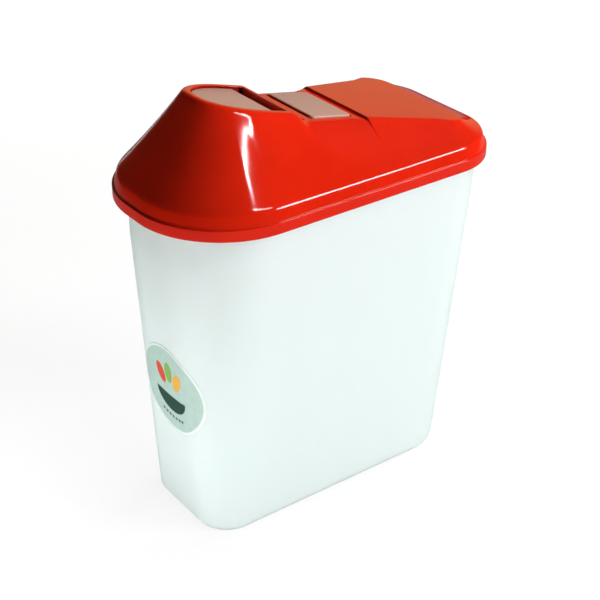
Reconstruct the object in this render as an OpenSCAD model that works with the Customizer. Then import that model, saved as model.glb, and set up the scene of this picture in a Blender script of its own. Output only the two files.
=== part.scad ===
// Cereal keeper: a tall tapered container, a push-on lid with a raised pouring nose,
// and a rocking flap that closes the spout and opens when its rear pad is pressed.
// Long axis along X with the nose towards -X, Z up, origin under the middle of the lid.

/* [Container] */
// Length over the lip of the lid
lid_length = 240; // [215:1:270]
// Width over the lip of the lid
lid_width = 133; // [126:1:150]
// Height of the container up to its rim
box_height = 234; // [150:1:300]
// How much narrower the base is than the rim, at the front end
front_taper = 13.8; // [6:0.2:24]
// How much narrower the base is than the rim, at the rear end
rear_taper = 11.8; // [4:0.2:20]
// How much narrower the base is than the rim, on each long side
side_taper = 18.4; // [8:0.2:22]
// Corner radius of the container at its rim, front end
rim_front_radius = 54.5; // [40:0.5:56]
// Corner radius of the container at its rim, rear end
rim_rear_radius = 36.5; // [20:0.5:44]
// Corner radius of the container at its base, front end
base_front_radius = 22; // [14:0.5:34]
// Corner radius of the container at its base, rear end
base_rear_radius = 34; // [16:0.5:36]
// Height of the upright collar at the front of the rim
collar_height = 36; // [10:1:60]
// Wall of the container
box_wall = 1.8; // [1.2:0.1:2.4]
// Thickness of the container's floor
box_floor = 2; // [1.4:0.1:3]
// Radius between the base and the walls
base_round = 4.6; // [3.6:0.2:9]
// Depth of the recess inside the standing ring of the base
foot_height = 1.2; // [0.6:0.1:2]
// Width of the standing ring of the base
foot_width = 7; // [5:0.5:12]
// Height of the flange round the rim
flange_height = 4; // [2.5:0.5:5]

/* [Lid] */
// Wall of the lid's skirt and sides
lid_wall = 1.6; // [1.2:0.1:2]
// Thickness of the lid's top
lid_top = 2; // [1.6:0.1:2.4]
// How far the lip hangs below the rim of the container
lip_drop = 10.5; // [9:0.5:14]
// Height of the lip
lip_height = 7.5; // [5:0.5:8]
// How far the lip stands out from the skirt
lip_proud = 1.2; // [0.6:0.1:1.6]
// How far the lip stands out from the container, front end
front_overhang = 9.8; // [6:0.2:12]
// How far the lip stands out from the container, rear end
rear_overhang = 5; // [4.8:0.1:7]
// How far the lip stands out from the container, long sides
side_overhang = 5; // [4.8:0.1:7]
// How far the shoulder line lies inside the lip
shoulder_inset = 3.5; // [2.8:0.1:4.2]
// Height of the shoulder line above the rim
shoulder_rise = 5; // [4:0.5:8]
// Gap between the skirt and the flange of the container
skirt_gap = 0.35; // [0.2:0.05:0.6]
// Height of the nose's tip above the shoulder line
nose_rise = 51; // [47:1:58]
// Fall of the nose's top along its length
nose_slope = 0.28; // [0.2:0.01:0.32]
// Distance from the front of the lip to the tip of the nose
nose_setback = 43; // [36:1:50]
// Length of the top of the nose
nose_length = 54.6; // [50:0.2:60]
// Half width of the top of the nose
nose_half = 27.8; // [27:0.2:32]
// How much the nose narrows on each side towards its tip
nose_narrow = 3.5; // [0:0.5:6]
// Length over which the nose narrows
narrow_length = 38; // [28:1:44]
// Corner radius at the tip of the nose
nose_radius = 15; // [10:0.5:17]
// Length of the slope between the nose and the rear deck
step_length = 7.6; // [6:0.2:9]
// How far the strip in front of the pad lies below the deck
strip_drop = 2.1; // [1.5:0.1:3]
// Half width of the lid's top beside the pad
waist_half = 26.2; // [25.8:0.1:29]
// Half width of the deck at its front edge
deck_front_half = 31.2; // [30:0.2:36]
// Half width of the deck at its rear
deck_half = 45.5; // [38:0.5:48]
// Corner radius at the rear of the deck
deck_radius = 13; // [6:0.5:20]
// Height of the step at the front edge of the deck
deck_step = 1.6; // [0.8:0.1:2.4]
// Height of the deck's front edge above the shoulder line
waist_rise = 22; // [20:0.5:24]
// Height of the deck's rear edge above the shoulder line
deck_rise = 7.8; // [4:0.2:14]
// Distance from the deck's rear edge to the rear of the lip
deck_setback = 21.5; // [18:0.5:28]
// How far the sides are hollowed half way up
side_hollow = 1.2; // [0:0.1:1.6]
// Rounding of the top edges
edge_round = 2.2; // [1:0.2:3]

/* [Spout flap] */
// Width of the rim round the spout
spout_rim = 4.3; // [3.6:0.1:5]
// Thickness of the flap
flap_wall = 1.7; // [1.2:0.1:2]
// Gap between the flap and the walls round it
flap_gap = 0.4; // [0.3:0.05:0.7]
// How far the flap's panel lies below the rim
panel_recess = 1.6; // [1:0.1:2.2]
// Distance from the bend at the rear of the panel to the pivot
bend_setback = 7.3; // [6.4:0.1:9]
// Depth of the pivot below the top of the nose
pivot_depth = 7.5; // [7:0.1:8.2]
// Distance from the rear edge of the nose's top to the pivot
pivot_setback = 3.8; // [3.4:0.1:4.6]
// Radius of the flap's barrel round the pivot
barrel_radius = 2.1; // [1.8:0.1:2.3]
// Radius of the pivot pins
pin_radius = 1.5; // [1.2:0.1:1.6]
// Radial clearance of the pins in their bores
pin_gap = 0.08; // [0.04:0.01:0.1]
// Thickness of the cheeks that hold the pins
cheek = 2; // [1.6:0.1:2.4]
// Length of the pad
pad_length = 29.6; // [24:0.1:32]
// Distance from the foot of the step to the pad
pad_setback = 7.7; // [6:0.1:10]
// Distance from the pad to the front edge of the deck
shelf_length = 5.5; // [4:0.1:8]
// How far the pad lies below the plane of the deck
pad_recess = 0.8; // [0.2:0.1:1.2]
// Corner radius of the pad
pad_radius = 2.5; // [1:0.5:5]
// Angle by which the flap opens
flap_open = 28; // [15:1:30]

/* [Label] */
// Radius of the round label
label_radius = 31.5; // [20:0.5:36]
// Height of the label's centre
label_z = 101; // [60:1:110]
// Distance of the label's centre to the right of the middle
label_shift = 4.5; // [0:0.5:10]
// Thickness of the label
label_wall = 0.2; // [0.15:0.05:0.3]

/* [Hidden] */
$fn = 48;

front_steps = 18;
rear_steps = 12;
eps = 0.01;
big = 400;

// Plan positions along X
x_front = -lid_length / 2;
x_rear = lid_length / 2;
rim_front = x_front + front_overhang;
rim_rear = x_rear - rear_overhang;
rim_half = lid_width / 2 - side_overhang;
base_front = rim_front + front_taper;
base_rear = rim_rear - rear_taper;
base_half = rim_half - side_taper;
nose_tip = x_front + nose_setback;
nose_back = nose_tip + nose_length;
step_foot = nose_back + step_length;
deck_rear = x_rear - deck_setback;
lid_front_radius = rim_front_radius + side_overhang;
lid_rear_radius = rim_rear_radius + side_overhang;

// Heights
lip_z = box_height - lip_drop;
skirt_z = lip_z + lip_height;
shoulder_z = box_height + shoulder_rise;
tip_z = shoulder_z + nose_rise;
lip_wall = lid_wall + 0.2;

// Inside of the skirt: how far it lies inside the lip at height z
skirt_in_z = skirt_z + 0.5;
crease_in_z = shoulder_z - lid_wall * 0.55;
crease_in = shoulder_inset + lid_wall * 0.9;
function skirt_in(z) = mix(lip_proud + lid_wall, crease_in, (z - skirt_in_z) / (crease_in_z - skirt_in_z));
flange_inset = skirt_in(box_height) + skirt_gap;
seat_inset = flange_inset + 0.8;
seat_width = 1.6;

function mix(a, b, t) = a + (b - a) * t;
function ease(a, b, t) = mix(a, b, (1 - cos(180 * t)) / 2);
function spread(a, b, count) = [for (i = [0:count - 1]) mix(a, b, i / count)];

// Pad and the well under it
pad_front = step_foot + pad_setback;
pad_rear = pad_front + pad_length;
strip_gap = 1;
strip_rear = pad_front - strip_gap;
well_rear = pad_rear + flap_gap;
deck_front = pad_rear + shelf_length;
flare_front = pad_rear - 6;
riser = 0.5;

// Top of the lid, front to rear: the nose's top, the slope behind it, the strip with
// the rims beside the pad, the step up to the deck, and the deck
deck_slope = (waist_rise - deck_rise) / (deck_rear - deck_front);
function nose_z(x) = tip_z - nose_slope * (x - nose_tip);
function deck_z(x) = shoulder_z + waist_rise - deck_slope * (x - deck_front);
strip_z = deck_z(step_foot) - strip_drop;
shelf_z = deck_z(deck_front) - deck_step;
function top_z(x) =
    x <= nose_back ? nose_z(x)
    : x <= step_foot ? mix(nose_z(nose_back), strip_z, (x - nose_back) / step_length)
    : x <= deck_front ? mix(strip_z, shelf_z, (x - step_foot) / (deck_front - step_foot))
    : x <= deck_front + riser ? mix(shelf_z, deck_z(x), (x - deck_front) / riser)
    : deck_z(x);

// The underside keeps its thickness behind the step up to the deck
function under_z(x) = min(top_z(x), top_z(x - 1.2 * lid_top)) - lid_top;

// The top without its steps, for the lower part of the sides
fair_x = nose_tip + narrow_length / 2;
function fair_z(x) =
    x <= fair_x ? nose_z(x)
    : x <= deck_front ? mix(nose_z(fair_x), deck_z(deck_front), (x - fair_x) / (deck_front - fair_x))
    : deck_z(x);

// Flap and the works round it
pivot_x = nose_back - pivot_setback;
pivot_z = nose_z(pivot_x) - pivot_depth;
barrel_room = barrel_radius + flap_gap;
throat_half = nose_half - spout_rim;
throat_tip = nose_tip + spout_rim;
throat_radius = nose_radius - spout_rim;
cross_front = pivot_x - cheek;
cross_rear = pivot_x;
bridge_front = pivot_x + 0.5;
bend_x = pivot_x - bend_setback;
panel_tip = throat_tip + flap_gap;
function panel_z(x) = nose_z(x) - panel_recess;
ledge = 1.5;
ledge_gap = 0.3;
ledge_rear = bend_x - flap_wall - ledge_gap;
throat_depth = 6;
web_top = strip_z - lid_top - flap_gap - 0.1;
web_rear = top_z(strip_rear) - lid_top - flap_gap - 0.1;

// Lowest corners of the pad once the flap is open, which the floor of the well clears
function turned(x, z) = [
    pivot_x + (x - pivot_x) * cos(flap_open) + (z - pivot_z) * sin(flap_open),
    pivot_z - (x - pivot_x) * sin(flap_open) + (z - pivot_z) * cos(flap_open)
];
open_front = turned(pad_front, web_rear - flap_wall);
open_rear = turned(pad_rear, deck_z(pad_rear) - pad_recess - flap_wall);
floor_gap = 1;
floor_slope = (open_front[1] - open_rear[1]) / (open_rear[0] - open_front[0]);
function floor_z(x) = open_rear[1] - floor_gap - floor_slope * (x - open_rear[0]);
well_z = floor_z(open_rear[0] + 1.5);

// ---- plan outlines --------------------------------------------------------------

// Half of a plan outline on the +Y side, from front to rear: an arc round the front
// corner, the given points of the side, and an arc round the rear corner
function half_plan(xf, xr, front_half, rear_half, rf, rr, side) = concat(
    [for (i = [0:front_steps]) let (a = 90 * i / front_steps)
        [xf + rf * (1 - cos(a)), front_half - rf * (1 - sin(a))]],
    side,
    [for (i = [0:rear_steps]) let (a = 90 * i / rear_steps)
        [xr - rr * (1 - sin(a)), rear_half - rr * (1 - cos(a))]]
);

// The container's outline at height z, set in by d
function box_plan(z, d) =
    let (t = z / box_height)
    let (tc = min(1, z / (box_height - collar_height)))
    let (half = mix(base_half, rim_half, t) - d)
    half_plan(
        mix(base_front, rim_front, tc) + d,
        mix(base_rear, rim_rear, t) - d,
        half,
        half,
        max(1, mix(base_front_radius, rim_front_radius, t) - d),
        max(1, mix(base_rear_radius, rim_rear_radius, t) - d),
        []
    );

// The lid's outline, set in by d, with or without the points where the top changes
function lid_plan(d, stations) =
    let (half = lid_width / 2 - d)
    half_plan(
        x_front + d,
        x_rear - d,
        half,
        half,
        lid_front_radius - d,
        lid_rear_radius - d,
        [for (x = stations) [x, half]]
    );

// Outline of the top of the lid from half widths at the stations along its length:
// nose, waist beside the pad and widening deck
wide_nose = nose_tip + narrow_length;
corner_start = deck_rear - deck_radius;
top_stations = concat(
    spread(wide_nose, nose_back, 2),
    spread(nose_back, step_foot, 3),
    spread(step_foot, flare_front, 4),
    spread(flare_front, deck_front, 3),
    [deck_front, deck_front + riser],
    spread(deck_front + 2 * lid_top, corner_start, 4)
);
function deck_half_at(x) = mix(deck_front_half, deck_half, (x - deck_front) / (deck_rear - deck_front));
function waist_half_at(x) =
    x <= nose_back ? nose_half
    : x <= step_foot ? ease(nose_half, waist_half, (x - nose_back) / step_length)
    : x <= flare_front ? waist_half
    : x <= deck_front ? ease(waist_half, deck_front_half, (x - flare_front) / (deck_front - flare_front))
    : deck_half_at(x);
function fair_half_at(x) =
    x <= deck_front ? mix(nose_half, deck_front_half, max(0, x - nose_back) / (deck_front - nose_back))
    : deck_half_at(x);
function outline(d, half_widths) = half_plan(
    nose_tip + d,
    deck_rear - d,
    nose_half - nose_narrow - d,
    deck_half - d,
    nose_radius - d,
    deck_radius - d,
    [for (i = [0:len(top_stations) - 1]) [top_stations[i], half_widths[i] - d]]
);
function top_plan(d) = outline(d, [for (x = top_stations) waist_half_at(x)]);
function fair_plan(d) = outline(d, [for (x = top_stations) fair_half_at(x)]);

// ---- shells skinned over stacked outlines -----------------------------------------

function at(plan, z) = [for (p = plan) [p[0], p[1], z]];
function on_top(plan, drop) = [for (p = plan) [p[0], p[1], top_z(p[0]) - drop]];
function under_top(plan, drop) = [for (p = plan) [p[0], p[1], under_z(p[0]) - drop]];

// Outline at a share t of the way up the sides, between the shoulder line and the top.
// The sides are hollow, and the waist and the steps of the top fade out downwards.
function on_side(low_inset, low_z, top_inset, drop, t) =
    let (low = lid_plan(low_inset + 4 * t * side_hollow, top_stations))
    let (fair = fair_plan(top_inset))
    let (top = top_plan(top_inset))
    [for (i = [0:len(low) - 1])
        let (x = top[i][0])
        let (y = mix(fair[i][1], top[i][1], t * t))
        let (z = mix(fair_z(x), top_z(x), t * t) - drop)
        [mix(low[i][0], x, t), mix(low[i][1], y, t), mix(low_z, z, t)]];
side_shares = [0.25, 0.5, 0.7, 0.88];

function mirrored(half) = [for (i = [len(half) - 1:-1:0]) [half[i][0], -half[i][1], half[i][2]]];

// Solid between half outlines stacked from bottom to top. Each end is closed by
// strips across the width, so that a stepped top stays true.
module skin(halves) {
    n = len(halves[0]);
    m = 2 * n;
    top = (len(halves) - 1) * m;
    points = [for (half = halves) each concat(half, mirrored(half))];
    walls = [for (k = [0:len(halves) - 2], i = [0:m - 1])
        let (a = k * m + i, b = k * m + (i + 1) % m)
        each [[a, b, b + m], [a, b + m, a + m]]];
    bottom = [for (i = [0:n - 2])
        each [[i, m - 1 - i, m - 2 - i], [i, m - 2 - i, i + 1]]];
    lid = [for (i = [0:n - 2])
        each [[top + i, top + i + 1, top + m - 2 - i], [top + i, top + m - 2 - i, top + m - 1 - i]]];
    polyhedron(points, concat(walls, bottom, lid), convexity = 6);
}

// Prism across the width with a profile in X and Z
module across(half, profile) {
    translate([0, half, 0])
        rotate([90, 0, 0])
            linear_extrude(2 * half)
                polygon(profile);
}

// ---- container --------------------------------------------------------------------

function round_rings(radius, lift, inset) = [for (a = [0:30:90])
    at(box_plan(lift + radius * (1 - cos(a)), inset + radius * (1 - sin(a))),
       lift + radius * (1 - cos(a)))];

flange_plan = lid_plan(flange_inset, []);
flange_z = box_height - flange_height;

module box_outside() {
    skin(concat(
        round_rings(base_round, 0, 0),
        [
            at(box_plan(box_height - collar_height, 0), box_height - collar_height),
            at(box_plan(flange_z - 1, 0), flange_z - 1),
            at(flange_plan, flange_z),
            at(flange_plan, box_height - 0.6),
            at(lid_plan(flange_inset + 0.4, []), box_height)
        ]
    ));
}

module box_inside() {
    skin(concat(
        round_rings(base_round - box_wall, foot_height + box_floor, box_wall),
        [
            at(box_plan(box_height - collar_height, box_wall), box_height - collar_height),
            at(box_plan(box_height, box_wall), box_height),
            at(box_plan(box_height, box_wall), box_height + 1)
        ]
    ));
}

module foot_recess() {
    skin([
        at(box_plan(0, base_round + foot_width), -1),
        at(box_plan(0, base_round + foot_width), 0),
        at(box_plan(0, base_round + foot_width + 1), foot_height)
    ]);
}

module container() {
    color([0.90, 0.95, 0.95, 0.6])
        difference() {
            box_outside();
            box_inside();
            foot_recess();
        }
}

// ---- lid --------------------------------------------------------------------------

module hood_outside() {
    skin([
        at(lid_plan(0.6, top_stations), lip_z),
        at(lid_plan(0, top_stations), lip_z + 0.6),
        at(lid_plan(0, top_stations), skirt_z - 1.2),
        at(lid_plan(lip_proud, top_stations), skirt_z),
        at(lid_plan(shoulder_inset - 0.4, top_stations), shoulder_z - 1.2),
        at(lid_plan(shoulder_inset + 0.4, top_stations), shoulder_z),
        for (t = side_shares) on_side(shoulder_inset + 0.4, shoulder_z, 0, edge_round, t),
        on_top(top_plan(0), edge_round),
        on_top(top_plan(edge_round * 0.3), edge_round * 0.3),
        on_top(top_plan(edge_round), 0)
    ]);
}

module hood_inside() {
    skin([
        at(lid_plan(lip_wall, top_stations), lip_z - 1),
        at(lid_plan(lip_wall, top_stations), skirt_z - 1.5),
        at(lid_plan(lip_proud + lid_wall, top_stations), skirt_in_z),
        at(lid_plan(crease_in, top_stations), crease_in_z),
        for (t = side_shares) on_side(crease_in, crease_in_z, lid_wall / 3, lid_top + edge_round * 0.6, t),
        under_top(top_plan(lid_wall / 3), edge_round * 0.6),
        under_top(top_plan(lid_wall / 3 + edge_round * 0.6), 0)
    ]);
}

// Rib under the shoulder that rests on the rim of the container
module seat_rib() {
    difference() {
        skin([
            at(lid_plan(seat_inset, []), box_height),
            at(lid_plan(seat_inset, []), shoulder_z + 0.4)
        ]);
        skin([
            at(lid_plan(seat_inset + seat_width, []), box_height - 1),
            at(lid_plan(seat_inset + seat_width, []), shoulder_z + 1)
        ]);
    }
}

// Plan of the spout: a tongue that narrows to a round tip, with a square rear end
module tongue(grow, rear) {
    r = throat_radius + grow;
    half = throat_half + grow;
    tip_half = half - nose_narrow;
    tip = throat_tip - grow;
    for (s = [-1, 1])
        translate([tip + r, s * (tip_half - r)])
            circle(r);
    polygon([
        [tip, r - tip_half], [tip + r, r - tip_half], [tip + r, -tip_half], [wide_nose, -half], [rear, -half],
        [rear, half], [wide_nose, half], [tip + r, tip_half], [tip + r, tip_half - r], [tip, tip_half - r]
    ]);
}

module throat(grow, rear) {
    translate([0, 0, skirt_z])
        linear_extrude(tip_z - skirt_z + 10)
            tongue(grow, rear);
}

// Everything above a plane that runs parallel to the closed panel
module above_panel(drop) {
    x0 = x_front;
    x1 = pivot_x;
    across(big, [
        [x0, panel_z(x0) - drop],
        [x1, panel_z(x1) - drop],
        [x1, tip_z + 50],
        [x0, tip_z + 50]
    ]);
}

// Well under the pad, grown outwards by a wall
function well_profile(wall) = [
    [cross_rear - wall, floor_z(cross_rear - wall) - wall * 1.4],
    [open_rear[0] + 1.5 - wall * 0.4, well_z - wall],
    [well_rear + wall, well_z - wall],
    [well_rear + wall, tip_z],
    [cross_rear - wall, tip_z]
];

// Room for the flap between the cross wall and the bridge
pass_profile = [
    [cross_front - eps, pivot_z - barrel_room],
    [cross_rear + eps, pivot_z - barrel_room],
    [cross_rear + eps, tip_z + 20],
    [cross_front - eps, tip_z + 20]
];

// Everything above a line from below the tip of the panel to below the pivot
module above_throat() {
    tip_low = panel_z(panel_tip) - flap_wall - throat_depth;
    slope = (tip_low - pivot_z + throat_depth) / (pivot_x - panel_tip);
    across(big, [
        [x_front, tip_low + slope * (panel_tip - x_front)],
        [pivot_x, pivot_z - throat_depth],
        [pivot_x, tip_z + 50],
        [x_front, tip_z + 50]
    ]);
}

// Bridge behind the spout: an upright front, the slope of the step and a level strip
bridge_profile = [
    [bridge_front, pivot_z + barrel_room],
    [bridge_front, tip_z],
    [strip_rear, tip_z],
    [strip_rear, top_z(strip_rear) - lid_top],
    [step_foot - 0.6, strip_z - lid_top],
    [nose_back - 0.4, nose_z(nose_back) - lid_top - 0.8],
    [bridge_front + lid_top, pivot_z + barrel_room]
];

module works() {
    intersection() {
        throat(cheek, cross_rear);
        above_throat();
    }
    across(throat_half + cheek, well_profile(cheek));
}

module ledge_ring() {
    difference() {
        intersection() {
            throat(eps, ledge_rear);
            above_panel(flap_wall + ledge_gap + ledge);
        }
        throat(-ledge, cross_front + 1);
        above_panel(flap_wall + ledge_gap);
    }
}

module lid() {
    color([0.89, 0.16, 0.08])
        difference() {
            union() {
                difference() {
                    union() {
                        difference() {
                            hood_outside();
                            hood_inside();
                        }
                        intersection() {
                            hood_outside();
                            union() {
                                works();
                                seat_rib();
                            }
                        }
                    }
                    throat(0, cross_front);
                    across(throat_half, well_profile(0));
                    across(throat_half, pass_profile);
                }
                intersection() {
                    hood_outside();
                    across(throat_half + eps, bridge_profile);
                }
                ledge_ring();
            }
            translate([pivot_x, 0, pivot_z])
                rotate([90, 0, 0])
                    cylinder(r = pin_radius + pin_gap, h = 2 * (throat_half + cheek) + 4, center = true);
        }
}

// ---- spout flap -------------------------------------------------------------------

flap_half = throat_half - flap_gap;
web_half = flap_half - pad_radius - 0.5;

web_profile = [
    [pivot_x, pivot_z + barrel_radius * 0.6],
    [step_foot, web_top],
    [pad_front, web_rear],
    [pad_front, deck_z(pad_front) - pad_recess],
    [pad_front + flap_wall, deck_z(pad_front + flap_wall) - pad_recess],
    [pad_front + flap_wall, web_rear - flap_wall],
    [step_foot, web_top - flap_wall],
    [pivot_x, pivot_z - barrel_radius * 0.6]
];

// The panel runs level with the rim and then bends down to the barrel
drop_top = [pivot_x, pivot_z + barrel_radius * 0.75];
drop_angle = atan((panel_z(bend_x) - drop_top[1]) / bend_setback);
under_bend = bend_x - flap_wall * 0.4;
panel_profile = [
    [panel_tip - 1, panel_z(panel_tip - 1)],
    [bend_x, panel_z(bend_x)],
    drop_top,
    drop_top - flap_wall * [sin(drop_angle), cos(drop_angle)],
    [under_bend, panel_z(under_bend) - flap_wall],
    [panel_tip - 1, panel_z(panel_tip - 1) - flap_wall]
];

pad_profile = [
    [pad_front, deck_z(pad_front) - pad_recess],
    [pad_rear, deck_z(pad_rear) - pad_recess],
    [pad_rear, deck_z(pad_rear) - pad_recess - flap_wall],
    [pad_front, deck_z(pad_front) - pad_recess - flap_wall]
];

module pad_plan() {
    for (x = [pad_front + pad_radius, pad_rear - pad_radius])
        for (s = [-1, 1])
            translate([x, s * (flap_half - pad_radius)])
                circle(pad_radius);
    translate([pad_front, pad_radius - flap_half])
        square([pad_length, 2 * (flap_half - pad_radius)]);
    translate([pad_front + pad_radius, -flap_half])
        square([pad_length - 2 * pad_radius, 2 * flap_half]);
}

module spout_flap() {
    color([0.74, 0.64, 0.55, 0.8]) {
        intersection() {
            across(big, panel_profile);
            throat(-flap_gap, pivot_x);
        }
        across(web_half, web_profile);
        intersection() {
            across(throat_half, pad_profile);
            translate([0, 0, lip_z])
                linear_extrude(tip_z - lip_z)
                    pad_plan();
        }
        translate([pivot_x, 0, pivot_z])
            rotate([90, 0, 0]) {
                cylinder(r = barrel_radius, h = 2 * flap_half, center = true);
                cylinder(r = pin_radius, h = 2 * (throat_half + cheek - 0.2), center = true);
            }
    }
}

// ---- label ------------------------------------------------------------------------

module label_shell(d) {
    skin([
        at(box_plan(foot_height + base_round, -d), foot_height + base_round),
        at(box_plan(box_height - collar_height, -d), box_height - collar_height)
    ]);
}

module label() {
    lean = atan(front_taper / (box_height - collar_height));
    color([0.80, 0.86, 0.81])
        intersection() {
            difference() {
                label_shell(label_wall);
                label_shell(0);
            }
            translate([mix(base_front, rim_front, label_z / (box_height - collar_height)), -label_shift, label_z])
                rotate([0, -90 - lean, 0])
                    cylinder(r = label_radius, h = 60, center = true);
        }
}

container();
lid();
spout_flap();
label();
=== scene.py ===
import math

import bmesh
import bpy
from mathutils import Matrix, Vector


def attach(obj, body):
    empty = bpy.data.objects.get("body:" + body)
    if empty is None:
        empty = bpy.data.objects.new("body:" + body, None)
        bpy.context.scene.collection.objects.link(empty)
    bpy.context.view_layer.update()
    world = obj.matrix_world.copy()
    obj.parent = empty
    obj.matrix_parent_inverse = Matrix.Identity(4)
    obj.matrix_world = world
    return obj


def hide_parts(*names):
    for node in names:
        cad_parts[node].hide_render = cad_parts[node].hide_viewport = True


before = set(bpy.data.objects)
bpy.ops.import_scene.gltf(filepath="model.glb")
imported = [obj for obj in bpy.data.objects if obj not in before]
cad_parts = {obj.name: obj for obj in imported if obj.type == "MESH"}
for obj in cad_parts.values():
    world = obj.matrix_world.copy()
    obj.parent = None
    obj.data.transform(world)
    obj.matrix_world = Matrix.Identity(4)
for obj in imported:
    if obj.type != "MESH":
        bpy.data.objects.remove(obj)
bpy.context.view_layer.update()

# A cereal container: a tub, a lid, a flap that rocks in the lid and closes its spout, and a
# label. Each stands in for its solid, on the same measures, with the small edges and the
# soft changes of shape that a moulding has.

MM = 0.001

# ---- sizes of the product, in millimetres ----------------------------------------------
# Slopes, powers and shares have no unit.

LID_LENGTH = 240
LID_WIDTH = 133
BOX_HEIGHT = 234
FRONT_TAPER = 13.8
REAR_TAPER = 11.8
SIDE_TAPER = 18.4
RIM_FRONT_RADIUS = 54.5
RIM_REAR_RADIUS = 36.5
BASE_FRONT_RADIUS = 22
BASE_REAR_RADIUS = 34
COLLAR_HEIGHT = 36
BOX_WALL = 1.8
BOX_FLOOR = 2
BASE_ROUND = 4.6
FOOT_HEIGHT = 1.2
FOOT_WIDTH = 7
FLANGE_HEIGHT = 4

LID_WALL = 1.6
LID_TOP = 2
LIP_DROP = 10.5
LIP_HEIGHT = 7.5
LIP_PROUD = 1.2
FRONT_OVERHANG = 9.8
REAR_OVERHANG = 5
SIDE_OVERHANG = 5
SHOULDER_INSET = 3.5
SHOULDER_RISE = 5
SKIRT_GAP = 0.35
NOSE_RISE = 51
NOSE_SLOPE = 0.28
NOSE_SETBACK = 43
NOSE_LENGTH = 54.6
NOSE_HALF = 27.8
NOSE_TAPER = 38
NOSE_POWER = 2.25
FAIR_SETBACK = 19
STEP_LENGTH = 7.6
STRIP_DROP = 2.1
WAIST_HALF = 26.2
DECK_FRONT_HALF = 31.2
DECK_HALF = 45.5
DECK_RADIUS = 13
DECK_STEP = 1.6
WAIST_RISE = 22
DECK_RISE = 7.8
DECK_SETBACK = 21.5
DECK_RISER = 0.5
FLARE_LEAD = 6
SIDE_HOLLOW = 1.2
EDGE_ROUND = 2.2
SEAT_SETBACK = 0.8
SEAT_WIDTH = 1.6

SPOUT_RIM = 4.3
FLAP_WALL = 1.7
FLAP_GAP = 0.4
PANEL_RECESS = 1.6
PIVOT_DEPTH = 7.5
PIVOT_SETBACK = 3.8
BARREL_RADIUS = 2.1
PIN_RADIUS = 1.5
CHEEK = 2
PAD_LENGTH = 29.6
PAD_SETBACK = 7.7
SHELF_LENGTH = 5.5
PAD_RECESS = 0.8
BEND_SETBACK = 7.3
PAD_RADIUS = 2.5
PANEL_EDGE = 0.35
PAD_EDGE = 0.8
CHAMFER = 0.3
PIN_END_GAP = 0.2
WEB_EXTRA_GAP = 0.1
WEB_INSET = 0.5
LEDGE = 1.5
LEDGE_GAP = 0.3
THROAT_DEPTH = 6
STRIP_GAP = 1
BRIDGE_SETBACK = 0.5
FLAP_OPEN_DEGREES = 28
ROOM_BELOW_PAD = 1
ROOM_BEHIND_PAD = 1.5

LABEL_RADIUS = 31.5
LABEL_Z = 101
LABEL_SHIFT = 4.5
LABEL_WALL = 0.2
LABEL_ROUND = 0.05
LABEL_BORDER = 1.6

# Small moulded edges, which the eye reads as thin bright lines
SHARP_ROUND = 0.4
LIP_ROUND_LOW = 0.9
LIP_ROUND_TOP = 0.7
LIP_ROUND_IN = 0.5
FLANGE_ROUND_LOW = 0.6
FLANGE_ROUND_DROP = 0.4
FLANGE_ROUND_TOP = 0.8
SKIRT_FILLET = 0.3
SKIRT_LEAN = 0.05
INNER_ROUND = 0.6 * EDGE_ROUND
SMALLEST_RADIUS = 1

# The crease between the lid's skirt and its sides: how far in from the shoulder and how far
# below it lie the start and the tip of the bend, and how far in the sides start
CREASE_START = (-0.5, 1.6)
CREASE_TIP = (0.1, 0.2)
CREASE_END = 0.4

# How far each side a profile is averaged, which turns its corners into soft bends
NOSE_SOFT = 2.2
REAR_SOFT = 0.35
BEND_SOFT = 0.8
COLLAR_SOFT = 3
WAIST_SOFT = 1.5
FAIR_SOFT = 4
AVERAGED_PLACES = 9

# Power of the height by which the waist and the steps of the top fade out downwards
FADE_POWER = 3

# Inner walls end this far under the skin they meet, or reach this far into a wall
BURIED = 1.6
OVERLAP = 0.2

# Counts of points and rings
FRONT_STEPS = 36
REAR_STEPS = 26
THROAT_STEPS = 24
EDGE_STEPS = 4
BRIM_STEPS = 6
ROUND_STEPS = 8
INNER_STEPS = 12
SPINDLE_STEPS = 36
LABEL_STEPS = 120

# Shares of the way up the lid's sides at which its rings start, end and follow each other
SIDE_START = 0.04
SIDE_END = 0.955
SIDE_STEP = 0.04

# ---- places that follow from the sizes -------------------------------------------------

X_FRONT = -LID_LENGTH / 2
X_REAR = LID_LENGTH / 2
RIM_FRONT = X_FRONT + FRONT_OVERHANG
RIM_REAR = X_REAR - REAR_OVERHANG
RIM_HALF = LID_WIDTH / 2 - SIDE_OVERHANG
BASE_FRONT = RIM_FRONT + FRONT_TAPER
BASE_REAR = RIM_REAR - REAR_TAPER
BASE_HALF = RIM_HALF - SIDE_TAPER
COLLAR_Z = BOX_HEIGHT - COLLAR_HEIGHT
NOSE_TIP = X_FRONT + NOSE_SETBACK
NOSE_BACK = NOSE_TIP + NOSE_LENGTH
STEP_FOOT = NOSE_BACK + STEP_LENGTH
WIDE_NOSE = NOSE_TIP + NOSE_TAPER
DECK_REAR = X_REAR - DECK_SETBACK
LID_FRONT_RADIUS = RIM_FRONT_RADIUS + SIDE_OVERHANG
LID_REAR_RADIUS = RIM_REAR_RADIUS + SIDE_OVERHANG
LIP_Z = BOX_HEIGHT - LIP_DROP
SKIRT_Z = LIP_Z + LIP_HEIGHT
SHOULDER_Z = BOX_HEIGHT + SHOULDER_RISE
TIP_Z = SHOULDER_Z + NOSE_RISE
PAD_FRONT = STEP_FOOT + PAD_SETBACK
PAD_REAR = PAD_FRONT + PAD_LENGTH
STRIP_REAR = PAD_FRONT - STRIP_GAP
WELL_REAR = PAD_REAR + FLAP_GAP
DECK_FRONT = PAD_REAR + SHELF_LENGTH
FLARE_FRONT = PAD_REAR - FLARE_LEAD


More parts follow.
